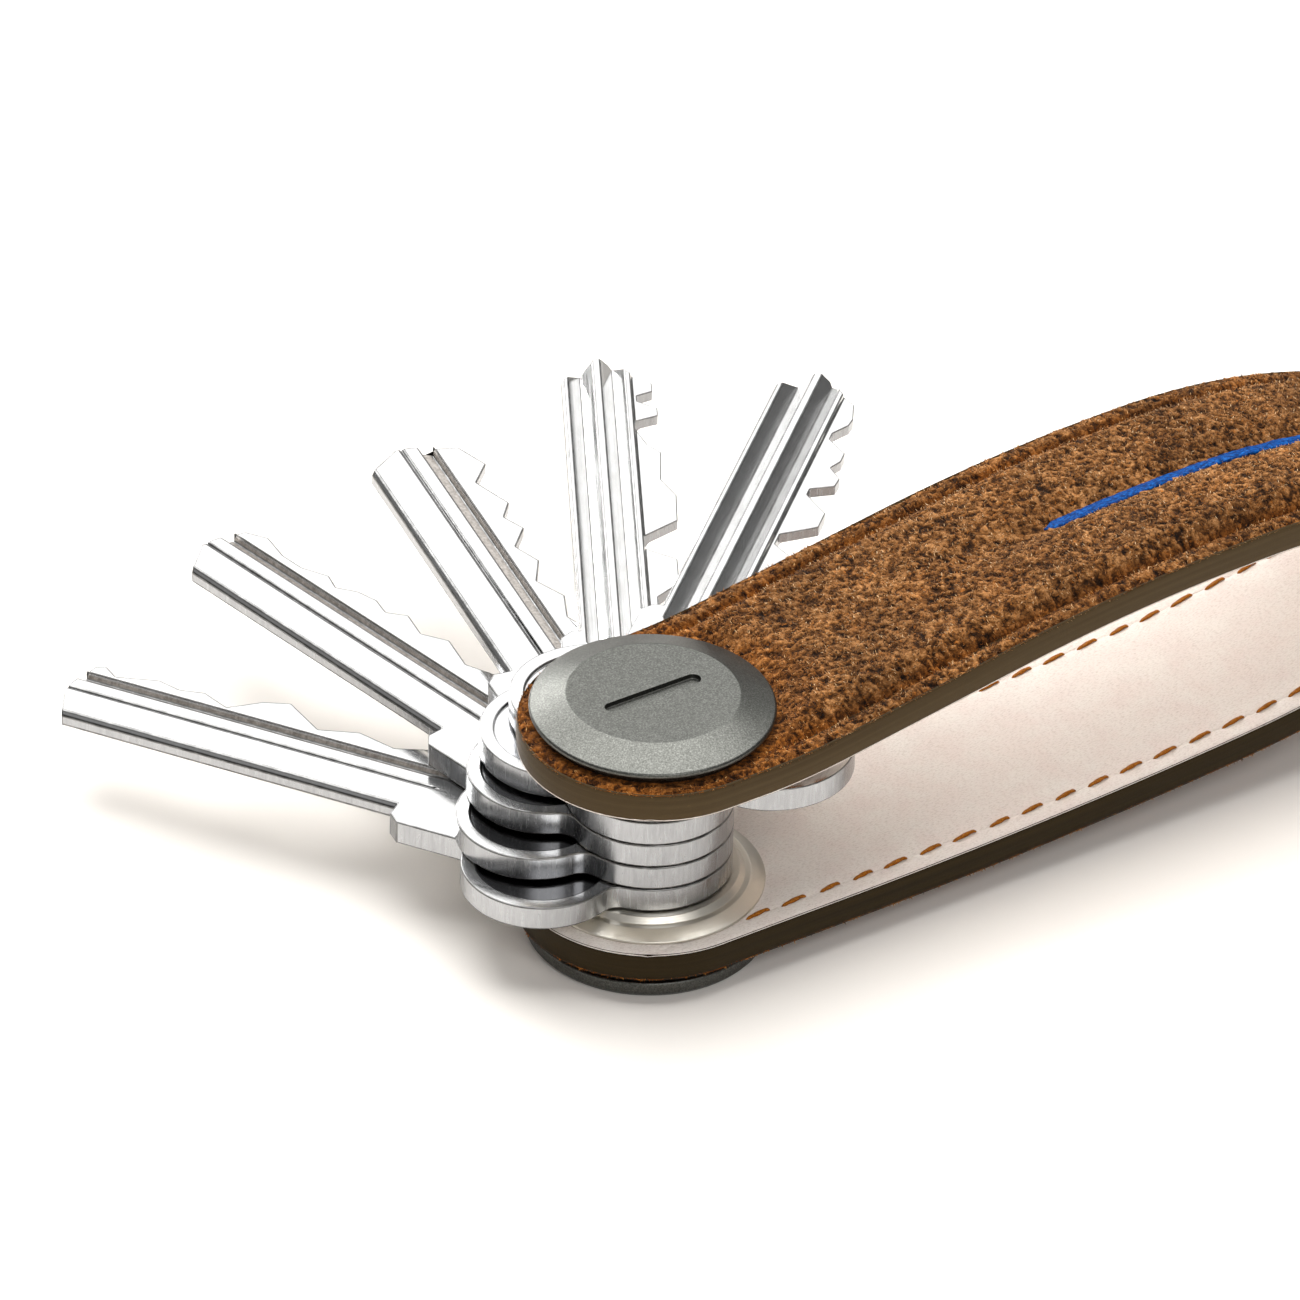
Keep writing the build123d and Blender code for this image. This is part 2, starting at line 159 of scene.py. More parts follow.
def strap_points(s, y, depth):
    """Points in millimetres at lengths s, across y, and depths below the outer face."""
    s, y, depth = np.broadcast_arrays(np.asarray(s, float), y, depth)
    turn, leg = strap_frame(s)
    first = np.radians(np.array([g.heading for g in LEGS]))[leg]
    radius = np.array([float(g.radius) for g in LEGS])[leg]
    start = np.array([g.start for g in LEGS])[leg]
    run = s - STARTS[leg]
    x = np.where(radius == 0, run * np.cos(first), radius * (np.sin(turn) - np.sin(first)))
    z = np.where(radius == 0, run * np.sin(first), radius * (np.cos(first) - np.cos(turn)))
    x, z = x + start[..., 0] - depth * np.sin(turn), z + start[..., 1] + depth * np.cos(turn)
    return np.stack((x, y, z), -1)


# ---------------------------------------------------------------- small helpers
def smooth(low, high, value):
    t = np.clip((value - low) / (high - low), 0, 1)
    return t * t * (3 - 2 * t)


def hump(distance, reach):
    """Bell curve, 1 in the middle and 0.37 at the reach."""
    return np.exp(-(distance / reach) ** 2)


def past_straight(s):
    """How far s lies past the straight sides, into a rounded end: negative at the lower end."""
    return np.where(s < HALF_WIDTH, s - HALF_WIDTH, np.maximum(s - STRAP_LENGTH + HALF_WIDTH, 0))


def value_noise(x, y, seed):
    """Smooth noise from -1 to 1 on a unit lattice, the same for the same seed."""
    xi, yi = np.floor(x).astype(np.int64), np.floor(y).astype(np.int64)
    fx, fy = x - xi, y - yi
    fx, fy = fx * fx * (3 - 2 * fx), fy * fy * (3 - 2 * fy)

    def corner(i, j):
        mixed = (i * 374761393 + j * 668265263 + seed * 2246822519) & 0xFFFFFFFF
        mixed = ((mixed ^ (mixed >> 13)) * 1274126177) & 0xFFFFFFFF
        return ((mixed ^ (mixed >> 16)) & 0xFFFF) / 32767.5 - 1

    low = corner(xi, yi) * (1 - fx) + corner(xi + 1, yi) * fx
    high = corner(xi, yi + 1) * (1 - fx) + corner(xi + 1, yi + 1) * fx
    return low * (1 - fy) + high * fy


def add_mesh(name, points, faces, strap=None):
    """New object from points in millimetres; strap holds each point's (s, y, depth)."""
    mesh = bpy.data.meshes.new(name)
    mesh.from_pydata((np.asarray(points) * MM).tolist(), [], faces)
    mesh.validate()
    if strap is not None:
        layer = mesh.attributes.new("strap", "FLOAT_VECTOR", "POINT")
        layer.data.foreach_set("vector", np.asarray(strap, np.float32).ravel())
    mesh.polygons.foreach_set("use_smooth", [True] * len(mesh.polygons))
    piece = bpy.data.objects.new(name, mesh)
    bpy.context.scene.collection.objects.link(piece)
    return piece


def rows_of(steps):
    """Lengths along the strap, at a spacing that changes: (end, spacing) pairs."""
    rows, start = [], 0.0
    for end, spacing in steps:
        count = max(2, round((end - start) / spacing))
        rows += list(np.linspace(start, end, count, endpoint=False))
        start = end
    return np.array(rows + [STRAP_LENGTH])


def columns_of(count, extra=()):
    """Shares of the half width where columns lie, closer at the edges so that the ends are round."""
    close = np.sin(np.radians(np.arange(62, 90, 4)))
    columns = np.sort(np.concatenate((np.linspace(-1, 1, count), close, -close, extra)))
    return columns[np.append(np.diff(columns) > 0.002, True)]


def trimmed(s, y, half_width):
    """Length at which a row lies in the column at y, fanned out into the rounded ends."""
    zone = HALF_WIDTH + 3.0
    inset = HALF_WIDTH - math.sqrt(max(half_width ** 2 - y * y, 0))
    if s < zone:
        return inset + s * (zone - inset) / zone
    if s > STRAP_LENGTH - zone:
        return STRAP_LENGTH - inset - (STRAP_LENGTH - s) * (zone - inset) / zone
    return s


def strap_solid(name, rows, columns, relief, near, far, half_width=HALF_WIDTH, walls=(1.0,),
                bulge=None):
    """Closed layer of the strap. relief(s, y) raises the face at near; the other face is smooth
    across, and walls holds the shares of the thickness where the side wall has an edge."""
    ys = half_width * np.asarray(columns)
    s_grid = np.array([[trimmed(s, y, half_width) for y in ys] for s in rows])
    y_grid = np.broadcast_to(ys, s_grid.shape)
    outward = -1 if near < far else 1
    depth_grid = near + outward * relief(s_grid, y_grid)
    points = [strap_points(s_grid, y_grid, depth_grid).reshape(-1, 3)]
    strap = [np.stack((s_grid, y_grid, depth_grid), -1).reshape(-1, 3)]
    # The near face: a grid of quads.
    last, side = s_grid.shape[0] - 1, s_grid.shape[1] - 1
    index = np.arange(s_grid.size).reshape(s_grid.shape)
    faces = [(index[i, j], index[i + 1, j], index[i + 1, j + 1], index[i, j + 1])
             for i in range(last) for j in range(side)]
    # The side wall: rings round the grid's outline, one for each share of the thickness.
    middle = (side + 1) // 2
    left = [(0, j) for j in range(middle, 0, -1)] + [(i, 0) for i in range(last + 1)]
    left += [(last, j) for j in range(1, middle + 1)]
    ring = left + [(i, side - j) for i, j in left][-2:0:-1]
    rows_at, columns_at = np.array(ring).T
    s, y, top = (grid[rows_at, columns_at] for grid in (s_grid, y_grid, depth_grid))
    past = past_straight(s)
    size = np.hypot(past, y)
    out_s, out_y = past / size, y / size
    previous, count = index[rows_at, columns_at], len(ring)
    for share in walls:
        depth = top + share * (far - top)
        swell = bulge(share, s) if bulge else 0.0
        current = sum(len(block) for block in points) + np.arange(count)
        points.append(strap_points(s + swell * out_s, y + swell * out_y, depth))
        strap.append(np.stack((s, y + swell * out_y, depth), -1))
        faces += [(previous[k], current[k], current[(k + 1) % count], previous[(k + 1) % count])
                  for k in range(count)]
        previous = current
    # The far face: quads straight across the last ring.
    half = len(left)
    front = list(previous[:half])
    back = [previous[0]] + list(previous[:half - 1:-1]) + [previous[half - 1]]
    for k in range(half - 1):
        faces.append(tuple(dict.fromkeys((front[k], back[k], back[k + 1], front[k + 1]))))
    faces = [tuple(int(i) for i in face) for face in faces]
    piece = add_mesh(name, np.concatenate(points), faces, np.concatenate(strap))
    bm = bmesh.new()
    bm.from_mesh(piece.data)
    bmesh.ops.recalc_face_normals(bm, faces=bm.faces)
    bm.to_mesh(piece.data)
    bm.free()
    return piece


def blend_across_fold(piece):
    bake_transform(piece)


def across_fold(piece, slot, *nodes):
    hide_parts(*nodes)
    blend_across_fold(piece)


# ---------------------------------------------------------------- materials
def material(name, base, roughness, metallic=0.0, specular=0.5):
    """Principled material, its shader and its node tree. The plain values stand until detail is
    linked over them."""
    made = bpy.data.materials.new(name)
    made.use_nodes = True
    tree = made.node_tree
    shader = tree.nodes["Principled BSDF"]
    shader.inputs["Base Color"].default_value = (*base, 1)
    shader.inputs["Roughness"].default_value = roughness
    shader.inputs["Metallic"].default_value = metallic
    shader.inputs["Specular IOR Level"].default_value = specular
    return made, shader, tree


def node(tree, kind, **values):
    made = tree.nodes.new(kind)
    for key, value in values.items():
        if key in made.inputs:
            made.inputs[key].default_value = value
        else:
            setattr(made, key, value)
    return made


def attribute(tree, name):
    return node(tree, "ShaderNodeAttribute", attribute_name=name).outputs["Fac"]


def components(tree, vector):
    """The X, Y and Z outputs of a vector."""
    split = tree.nodes.new("ShaderNodeSeparateXYZ")
    tree.links.new(vector, split.inputs["Vector"])
    return split.outputs


def coordinates(tree, layer=None, scale=(1, 1, 1), turn=0.0):
    """Object coordinates in millimetres, or a mesh's vector layer, turned about Z and scaled."""
    if layer:
        source = node(tree, "ShaderNodeAttribute", attribute_name=layer).outputs["Vector"]
        unit = 1.0
    else:
        source = tree.nodes.new("ShaderNodeTexCoord").outputs["Object"]
        unit = 1 / MM
    turned = tree.nodes.new("ShaderNodeMapping")
    turned.inputs["Rotation"].default_value = (0, 0, turn)
    tree.links.new(source, turned.inputs["Vector"])
    scaled = tree.nodes.new("ShaderNodeMapping")
    scaled.inputs["Scale"].default_value = tuple(unit * c for c in scale)
    tree.links.new(turned.outputs["Vector"], scaled.inputs["Vector"])
    return scaled.outputs["Vector"]


def noise(tree, vector, scale, detail=2.0, roughness=0.5, distortion=0.0):
    made = node(tree, "ShaderNodeTexNoise", Scale=scale, Detail=detail, Roughness=roughness,
                Distortion=distortion)
    tree.links.new(vector, made.inputs["Vector"])
    return made.outputs["Fac"]


def ramp(tree, value, stops):
    """Colour ramp from (place, colour) pairs."""
    made = tree.nodes.new("ShaderNodeValToRGB")
    elements = made.color_ramp.elements
    while len(elements) < len(stops):
        elements.new(0.5)
    for element, (place, colour) in zip(elements, stops):
        element.position = place
        element.color = (*colour, 1)
    tree.links.new(value, made.inputs["Fac"])
    return made.outputs["Color"]


def blend_colours(tree, share, first, second, how="MIX"):
    made = node(tree, "ShaderNodeMix", data_type="RGBA", blend_type=how)
    for socket, value in ((made.inputs[0], share), (made.inputs[6], first), (made.inputs[7], second)):
        if isinstance(value, (int, float)):
            socket.default_value = value
        elif isinstance(value, tuple):
            socket.default_value = (*value, 1)
        else:
            tree.links.new(value, socket)
    return made.outputs[2]


def times(tree, first, second):
    made = node(tree, "ShaderNodeMath", operation="MULTIPLY")
    tree.links.new(first, made.inputs[0])
    tree.links.new(second, made.inputs[1])
    return made.outputs[0]


def remap(tree, value, low, high, to_low, to_high):
    """The value, clamped, taken from low..high to to_low..to_high."""
    made = node(tree, "ShaderNodeMapRange")
    for i, number in enumerate((low, high, to_low, to_high), 1):
        made.inputs[i].default_value = number
    tree.links.new(value, made.inputs[0])
    return made.outputs[0]


def bump(tree, shader, height, strength, distance, before=None):
    """Bump on the shader's normal, over the bump before it; distance is in millimetres."""
    made = node(tree, "ShaderNodeBump", Strength=strength, Distance=distance * MM)
    tree.links.new(height, made.inputs["Height"])
    if before:
        tree.links.new(before, made.inputs["Normal"])
    tree.links.new(made.outputs["Normal"], shader.inputs["Normal"])
    return made.outputs["Normal"]


def suede_material():
    """Brushed suede: hollows painted dark as painted shade, mid-brown tufts, and orange tones where it
    is pressed.
    """
    made, shader, tree = material("suede", (0.2, 0.09, 0.04), 0.95, specular=0.15)
    where = coordinates(tree, "strap")
    tufts = noise(tree, where, 2.3, 3.0, 0.7, 0.8)
    fibres = noise(tree, coordinates(tree, "strap", (1.0, 1.8, 1.0)), 7.0, 2.0, 0.7, 1.4)
    flecks = noise(tree, where, 3.7, 2.0, 0.6, 1.0)
    broad = noise(tree, where, 0.16, 2.0, 0.5)
    # painted shade: the colour runs from near black where the nap is low to brown where it is high
    height = blend_colours(tree, 0.55, tufts, attribute(tree, "shade_height"))
    base = ramp(tree, height, ((0.38, (0.005, 0.002, 0.001)), (0.46, (0.035, 0.013, 0.003)),
                               (0.54, (0.160, 0.066, 0.018)), (0.66, (0.420, 0.210, 0.080))))
    deep = ramp(tree, height, ((0.38, (0.008, 0.003, 0.001)), (0.47, (0.060, 0.019, 0.003)),
                               (0.57, (0.200, 0.066, 0.009)), (0.70, (0.430, 0.165, 0.034))))
    colour = blend_colours(tree, attribute(tree, "pressed"), base, deep)
    orange = ramp(tree, flecks, ((0.60, (0, 0, 0)), (0.70, (1, 1, 1))))
    warm = blend_colours(tree, 0.6, colour, (0.42, 0.140, 0.022))
    colour = blend_colours(tree, orange, colour, warm)
    strands = ramp(tree, fibres, ((0.32, (0.50, 0.46, 0.44)), (0.52, (1.0, 1.0, 1.0)),
                                  (0.70, (1.7, 1.6, 1.5))))
    colour = blend_colours(tree, 0.8, colour, strands, "MULTIPLY")
    shade = ramp(tree, broad, ((0.3, (0.70, 0.68, 0.66)), (0.7, (1.25, 1.22, 1.18))))
    colour = blend_colours(tree, 1.0, colour, shade, "MULTIPLY")
    tree.links.new(colour, shader.inputs["Base Color"])
    shader.inputs["Sheen Weight"].default_value = 0.04
    shader.inputs["Sheen Roughness"].default_value = 0.5
    shader.inputs["Sheen Tint"].default_value = (0.95, 0.62, 0.38, 1)
    first = bump(tree, shader, tufts, 0.6, 0.14)
    bump(tree, shader, fibres, 0.7, 0.06, first)
    return made


def nap_material():
    """Loose fibres of the suede, each with its own random tone, plus painted shade at the root and
    where the nap dips, and a painted highlight towards the tip.
    """
    made, shader, tree = material("nap", (0.2, 0.09, 0.04), 0.8, specular=0.4)
    tone = attribute(tree, "tone")
    base = ramp(tree, tone, ((0.0, (0.006, 0.002, 0.001)), (0.36, (0.045, 0.016, 0.004)),
                             (0.62, (0.225, 0.095, 0.028)), (0.86, (0.520, 0.270, 0.100)),
                             (1.0, (0.86, 0.60, 0.34))))
    deep = ramp(tree, tone, ((0.0, (0.006, 0.002, 0.001)), (0.36, (0.050, 0.014, 0.002)),
                             (0.62, (0.270, 0.080, 0.009)), (0.86, (0.560, 0.200, 0.035)),
                             (1.0, (0.85, 0.46, 0.14))))
    colour = blend_colours(tree, attribute(tree, "pressed"), base, deep)
    tree.links.new(colour, shader.inputs["Base Color"])
    return made


def edge_material():
    """Painted edge: satin, with faint layers along it and tiny pits; painted shade makes it darker on
    the lower arm.
    """
    made, shader, tree = material("core_edge", (0.1, 0.07, 0.045), 0.42, specular=0.12)
    layers = noise(tree, coordinates(tree, "strap", (0.03, 0.03, 2.6)), 1.0, 2.0, 0.6)
    specks = noise(tree, coordinates(tree, "strap"), 5.0, 3.0, 0.7)
    along = components(tree, coordinates(tree, "strap"))["X"]
    # painted shade: the lower arm's edge gets a darker copy of the upper arm's tone
    upper = remap(tree, along, FOLD_S - 12, FOLD_S + 12, 0, 1)
    light = ramp(tree, layers, ((0.3, (0.054, 0.033, 0.012)), (0.7, (0.072, 0.046, 0.018))))
    dark = ramp(tree, layers, ((0.3, (0.016, 0.009, 0.001)), (0.7, (0.026, 0.015, 0.002))))
    colour = blend_colours(tree, upper, dark, light)
    dust = ramp(tree, specks, ((0.62, (1, 1, 1)), (0.74, (1.5, 1.45, 1.4))))
    tree.links.new(blend_colours(tree, 0.6, colour, dust, "MULTIPLY"), shader.inputs["Base Color"])
    tree.links.new(remap(tree, specks, 0.3, 0.7, 0.46, 0.60), shader.inputs["Roughness"])
    first = bump(tree, shader, layers, 0.25, 0.04)
    bump(tree, shader, specks, 0.5, 0.04, first)
    return made


def lining_material():
    """Pale lining with a fine short grain and a slightly cloudy colour."""
    made, shader, tree = material("lining", (0.74, 0.68, 0.6), 0.6, specular=0.3)
    where = coordinates(tree, "strap")
    grain = noise(tree, coordinates(tree, "strap", (1.0, 2.6, 1.0)), 3.2, 3.0, 0.6, 0.4)
    pores = noise(tree, where, 9.0, 2.0, 0.6)
    cloud = noise(tree, where, 0.3, 3.0, 0.6)
    colour = ramp(tree, cloud, ((0.35, (0.860, 0.760, 0.700)), (0.65, (0.880, 0.815, 0.750))))
    fine = ramp(tree, grain, ((0.32, (0.80, 0.77, 0.74)), (0.52, (1.02, 1.02, 1.02))))
    tree.links.new(blend_colours(tree, 0.8, colour, fine, "MULTIPLY"), shader.inputs["Base Color"])
    first = bump(tree, shader, grain, 1.0, 0.14)
    bump(tree, shader, pores, 0.8, 0.05, first)
    return made


def thread_material():
    made, shader, tree = material("thread", (0.36, 0.12, 0.02), 0.5, specular=0.15)
    fuzz = noise(tree, coordinates(tree), 9.0, 3.0, 0.7)
    colour = ramp(tree, fuzz, ((0.3, (0.120, 0.034, 0.002)), (0.52, (0.330, 0.105, 0.006)),
                               (0.75, (0.560, 0.220, 0.025))))
    tree.links.new(colour, shader.inputs["Base Color"])
    bump(tree, shader, fuzz, 0.6, 0.04)
    return made


def inlay_material():
    made, shader, tree = material("inlay", (0.006, 0.05, 0.25), 0.45, specular=0.08)
    streaks = noise(tree, coordinates(tree, "strap", (1.0, 2.0, 1.0)), 2.6, 3.0, 0.65, 0.5)
    colour = ramp(tree, streaks, ((0.34, (0.0005, 0.014, 0.070)), (0.52, (0.0008, 0.050, 0.230)),
                                  (0.70, (0.004, 0.120, 0.430))))
    tree.links.new(colour, shader.inputs["Base Color"])
    bump(tree, shader, streaks, 0.8, 0.12)
    return made


def blasted_material():
    """Gunmetal plating over a bead-blasted surface."""
    made, shader, tree = material("blasted_gunmetal", (0.14, 0.142, 0.13), 0.42, 1.0)
    grit = noise(tree, coordinates(tree), 7.5, 2.0, 0.6)
    cloud = noise(tree, coordinates(tree), 0.35, 2.0, 0.5)
    colour = ramp(tree, grit, ((0.32, (0.066, 0.067, 0.060)), (0.52, (0.100, 0.101, 0.092)),
                               (0.72, (0.160, 0.161, 0.148))))
    tree.links.new(colour, shader.inputs["Base Color"])
    tree.links.new(remap(tree, cloud, 0.3, 0.7, 0.36, 0.42), shader.inputs["Roughness"])
    bump(tree, shader, grit, 0.4, 0.02)
    return made


def turned_material(name, base, roughness):
    """Steel turned on a lathe: fine rings about the post."""
    made, shader, tree = material(name, base, roughness, 1.0)
    where = coordinates(tree)
    wave = node(tree, "ShaderNodeTexWave", wave_type="RINGS", rings_direction="Z", Scale=2.2,
                Distortion=0.6, Detail=2.0)
    tree.links.new(where, wave.inputs["Vector"])
    scuff = noise(tree, where, 2.0, 4.0, 0.65)
    tree.links.new(remap(tree, scuff, 0.3, 0.7, roughness - 0.07, roughness + 0.1),
                   shader.inputs["Roughness"])
    first = bump(tree, shader, wave.outputs["Fac"], 0.10, 0.03)
    bump(tree, shader, scuff, 0.12, 0.03, first)
    return made


def edge_shade_material():
    """Bevelled edges of the keys: duller and darker than the faces they join; the darker tone is
    painted shade that outlines them.
    """
    made, shader, tree = material("painted_edge_shade", (0.15, 0.15, 0.147), 0.30, 1.0)
    mottle = noise(tree, coordinates(tree), 0.9, 3.0, 0.6)
    tree.links.new(ramp(tree, mottle, ((0.3, (0.12, 0.119, 0.117)), (0.7, (0.26, 0.258, 0.254)))),
                   shader.inputs["Base Color"])
    return made


def key_masks(tree, facing, top, patina):
    """How far a point lies in the bow's recesses, where the painted shade goes, and in the blade's
    grooves with their patina.
    """
    where = coordinates(tree)
    high = components(tree, where)["Z"]
    in_plan = node(tree, "ShaderNodeVectorMath", operation="MULTIPLY")
    in_plan.inputs[1].default_value = (1, 1, 0)
    tree.links.new(where, in_plan.inputs[0])
    radius = node(tree, "ShaderNodeVectorMath", operation="LENGTH")
    tree.links.new(in_plan.outputs[0], radius.inputs[0])
    on_bow = remap(tree, radius.outputs["Value"], KEY_BOW_REACH, KEY_BOW_REACH + 0.4, 1, 0)
    below = remap(tree, high, top - 0.20, top - 0.12, 1, 0)
    facing_up = remap(tree, facing, 0.9, 0.95, 0, 1)
    deep = remap(tree, high, top - 0.5, top - 0.3, 1, 0)
    return (times(tree, times(tree, on_bow, below), facing_up),
            times(tree, deep, remap(tree, facing, 0.1, 0.2, 0, patina)))


def key_material(name, angle, top, patina, recess_shade):
    """Nickel plate with drawn lines along the blade at its angle in degrees, and faint cut marks on
    upright walls, which are painted darker than the faces as painted shade. The bow's recesses get a
    painted reflection and shade: a flat tone given per key as the last argument, darker on the lower
    keys of the stack. The key's top is at Z = top."""
    made, shader, tree = material(name, (0.80, 0.80, 0.79), 0.2, 1.0)
    along = coordinates(tree, scale=(0.06, 3.2, 3.2), turn=-math.radians(angle))
    lines = noise(tree, along, 1.6, 3.0, 0.7)
    upright = coordinates(tree, scale=(2.4, 2.4, 0.25))
    cut = noise(tree, upright, 1.3, 3.0, 0.7, 0.3)
    blotch = noise(tree, coordinates(tree), 0.45, 3.0, 0.6)
    facing = components(tree, tree.nodes.new("ShaderNodeNewGeometry").outputs["True Normal"])["Z"]
    level = node(tree, "ShaderNodeMath", operation="ABSOLUTE")
    tree.links.new(facing, level.inputs[0])
    side = remap(tree, level.outputs[0], 0.2, 0.6, 1.0, 0.0)
    height = blend_colours(tree, side, lines, cut)
    rough = blend_colours(tree, side, remap(tree, lines, 0.3, 0.7, 0.12, 0.22),
                          remap(tree, cut, 0.3, 0.7, 0.23, 0.29))
    tree.links.new(rough, shader.inputs["Roughness"])
    face = ramp(tree, blotch, ((0.3, (0.80, 0.795, 0.785)), (0.7, (0.88, 0.88, 0.875))))
    face = blend_colours(tree, remap(tree, lines, 0.5, 0.7, 0, 0.35), face, (0.60, 0.60, 0.60))
    # painted shade: upright walls take a much darker tone than the faces of the same plate
    wall = ramp(tree, cut, ((0.3, (0.34, 0.345, 0.355)), (0.7, (0.45, 0.455, 0.465))))
    tone = blend_colours(tree, side, face, wall)
    shaded_recess, sunk = key_masks(tree, facing, top, patina)
    # painted reflection and shade: the bow's recesses take the flat tone given for this key
    tone = blend_colours(tree, shaded_recess, tone, (recess_shade, recess_shade, 1.02 * recess_shade))
    stain = ramp(tree, cut, ((0.35, (0.17, 0.145, 0.12)), (0.65, (0.40, 0.36, 0.32))))
    tree.links.new(blend_colours(tree, sunk, tone, stain), shader.inputs["Base Color"])
    tree.links.new(remap(tree, sunk, 0, 1, 1.0, 0.25), shader.inputs["Metallic"])
    bump(tree, shader, height, 0.07, 0.03)
    return made


# ---------------------------------------------------------------- strap pieces
SUEDE_COLUMNS, CORE_COLUMNS, LINING_COLUMNS = 121, 31, 61
TUFTS, FRINGE = 43500, 5200
UPPER_SHARE = 0.86      # share of the tufts that grow on the upper arm
ROOT_DEPTH = 0.06       # how far a fibre starts below the suede's face
FRINGE_INSET = 0.12
CHANNEL_INSET = 1.95    # from the outline to the middle of the sewn channel
INLAY_CLEAR = 0.75      # half width of the line left bare of nap for the inlay
INLAY_START = 47        # length from the upper end to where that line begins


def post_distance(s, y):
    """Distance in plan from the post, near either end of the strap."""
    from_end = np.where(s < STRAP_LENGTH / 2, s, STRAP_LENGTH - s) - HALF_WIDTH
    return np.hypot(from_end, y)


def edge_inset(s, y):
    """Distance in from the strap's outline."""
    return HALF_WIDTH - np.hypot(past_straight(s), y)


def suede_shape(s, y):
    """Relief of the outer skin without its nap: edge, sewn channel, padding and centre valley."""
    inset = edge_inset(s, y)
    padding = smooth(2.1, 3.9, inset)
    along = np.minimum(np.abs(STRAP_LENGTH - s), s) - HALF_WIDTH
    valley = smooth(26, 39, along) * (0.75 * hump(y, 1.5) + 0.3 * hump(y, 3.2)) + 0.12 * hump(y, 2.6)
    channel = 0.85 * hump(inset - CHANNEL_INSET, 0.42)
    edge = 0.3 * (1 - smooth(0, 0.7, inset))
    free = smooth(DISC_R - 0.3, DISC_R + 3.2, post_distance(s, y))
    return free * (padding - valley - channel) - edge


def clumps(s, y):
    """Nap from -1 to 1: curled tufts about half a millimetre across."""
    bent_s = s + 0.35 * value_noise(s * 1.3, y * 1.3, 61)
    bent_y = y + 0.35 * value_noise(s * 1.3, y * 1.3, 62)
    coarse = 1 - 2 * np.abs(value_noise(bent_s * 2.0, bent_y * 2.3, 3))
    fine = value_noise(bent_s * 4.2, bent_y * 4.6, 5)
    return np.clip(0.55 * coarse + 0.5 * fine, -1, 1)


def suede_relief(s, y):
    covered = smooth(DISC_R - 0.6, DISC_R + 0.1, post_distance(s, y))
    swell = 0.12 * value_noise(s * 0.16, y * 0.22, 11) * smooth(11, 14, post_distance(s, y))
    return suede_shape(s, y) + covered * (0.22 * clumps(s, y) - 0.05) + swell


def pressed_share(s, y):
    """How pressed and orange the nap is, from 0 to 1: channels, edges and round the discs."""
    inset = edge_inset(s, y)
    pressed = 1.1 * hump(inset - 1.9, 0.55) + 0.35 * (1 - smooth(0, 1.0, inset))
    pressed += 0.7 * (1 - smooth(DISC_R + 0.2, DISC_R + 5.0, post_distance(s, y)))
    return np.clip(pressed + 0.25 * value_noise(s * 0.35, y * 0.5, 21), 0, 1)


def point_layer(piece, name, values):
    layer = piece.data.attributes.new(name, "FLOAT", "POINT")
    layer.data.foreach_set("value", np.asarray(values, np.float32))


def make_suede():
    rows = rows_of(((FOLD_S - 14, 0.55), (FOLD_S + 6, 0.3), (STRAP_LENGTH, 0.2)))
    piece = strap_solid("strap_suede", rows, columns_of(SUEDE_COLUMNS), suede_relief, 0.0, SUEDE,
                        walls=(0.3, 0.65, 1.0), bulge=lambda share, s: -0.06)
    strap = np.zeros(len(piece.data.vertices) * 3, np.float32)
    piece.data.attributes["strap"].data.foreach_get("vector", strap)
    s, y, _ = strap.reshape(-1, 3).T
    point_layer(piece, "pressed", pressed_share(s, y))
    # height of the nap's clumps, which sets the painted shade in the suede's hollows
    point_layer(piece, "shade_height", 0.5 + 0.3 * clumps(s, y))
    piece.data.materials.append(suede_material())
    across_fold(piece, "suede", "lower_suede", "upper_suede")


def scatter_tufts(chance):
    """Fibres on the suede's faces: s and y of each root, and the lean along s, along y and outward."""
    tries = 2 * TUFTS
    s = np.where(chance.random(tries) < UPPER_SHARE, chance.uniform(FOLD_S, STRAP_LENGTH, tries),
                 chance.uniform(0, FOLD_S, tries))
    y = chance.uniform(-HALF_WIDTH, HALF_WIDTH, tries)
    free = (edge_inset(s, y) > 0.1) & (post_distance(s, y) > DISC_R + 0.15)
    free &= (np.abs(y) > INLAY_CLEAR) | (s < FOLD_S) | (STRAP_LENGTH - s < INLAY_START)
    s, y = s[free][:TUFTS], y[free][:TUFTS]
    lean_s, lean_y = chance.normal(0.5, 0.7, len(s)), chance.normal(0, 0.7, len(s))
    return s, y, lean_s, lean_y, chance.uniform(0.2, 0.8, len(s))


def scatter_fringe(chance):
    """Fibres along the strap's outline, which lean out over its edge: the same five values."""
    straight_run = STRAP_LENGTH - 2 * HALF_WIDTH
    half_outline = straight_run + math.pi * HALF_WIDTH
    walk = chance.uniform(0, 2 * half_outline, FRINGE)
    along = walk % half_outline
    flip = np.where(walk > half_outline, -1, 1)
    turn = np.clip(along - straight_run, 0, None) / HALF_WIDTH
    s = HALF_WIDTH + np.minimum(along, straight_run) + HALF_WIDTH * np.sin(turn)
    s, y = np.where(flip > 0, s, STRAP_LENGTH - s), flip * -HALF_WIDTH * np.cos(turn)
    out_s, out_y = flip * np.sin(turn), y / HALF_WIDTH
    lean_s = 0.8 * out_s + chance.normal(0, 0.5, FRINGE)
    lean_y = 0.8 * out_y + chance.normal(0, 0.5, FRINGE)
    return (s - FRINGE_INSET * out_s, y - FRINGE_INSET * out_y, lean_s, lean_y,
            chance.uniform(-0.25, 0.35, FRINGE))


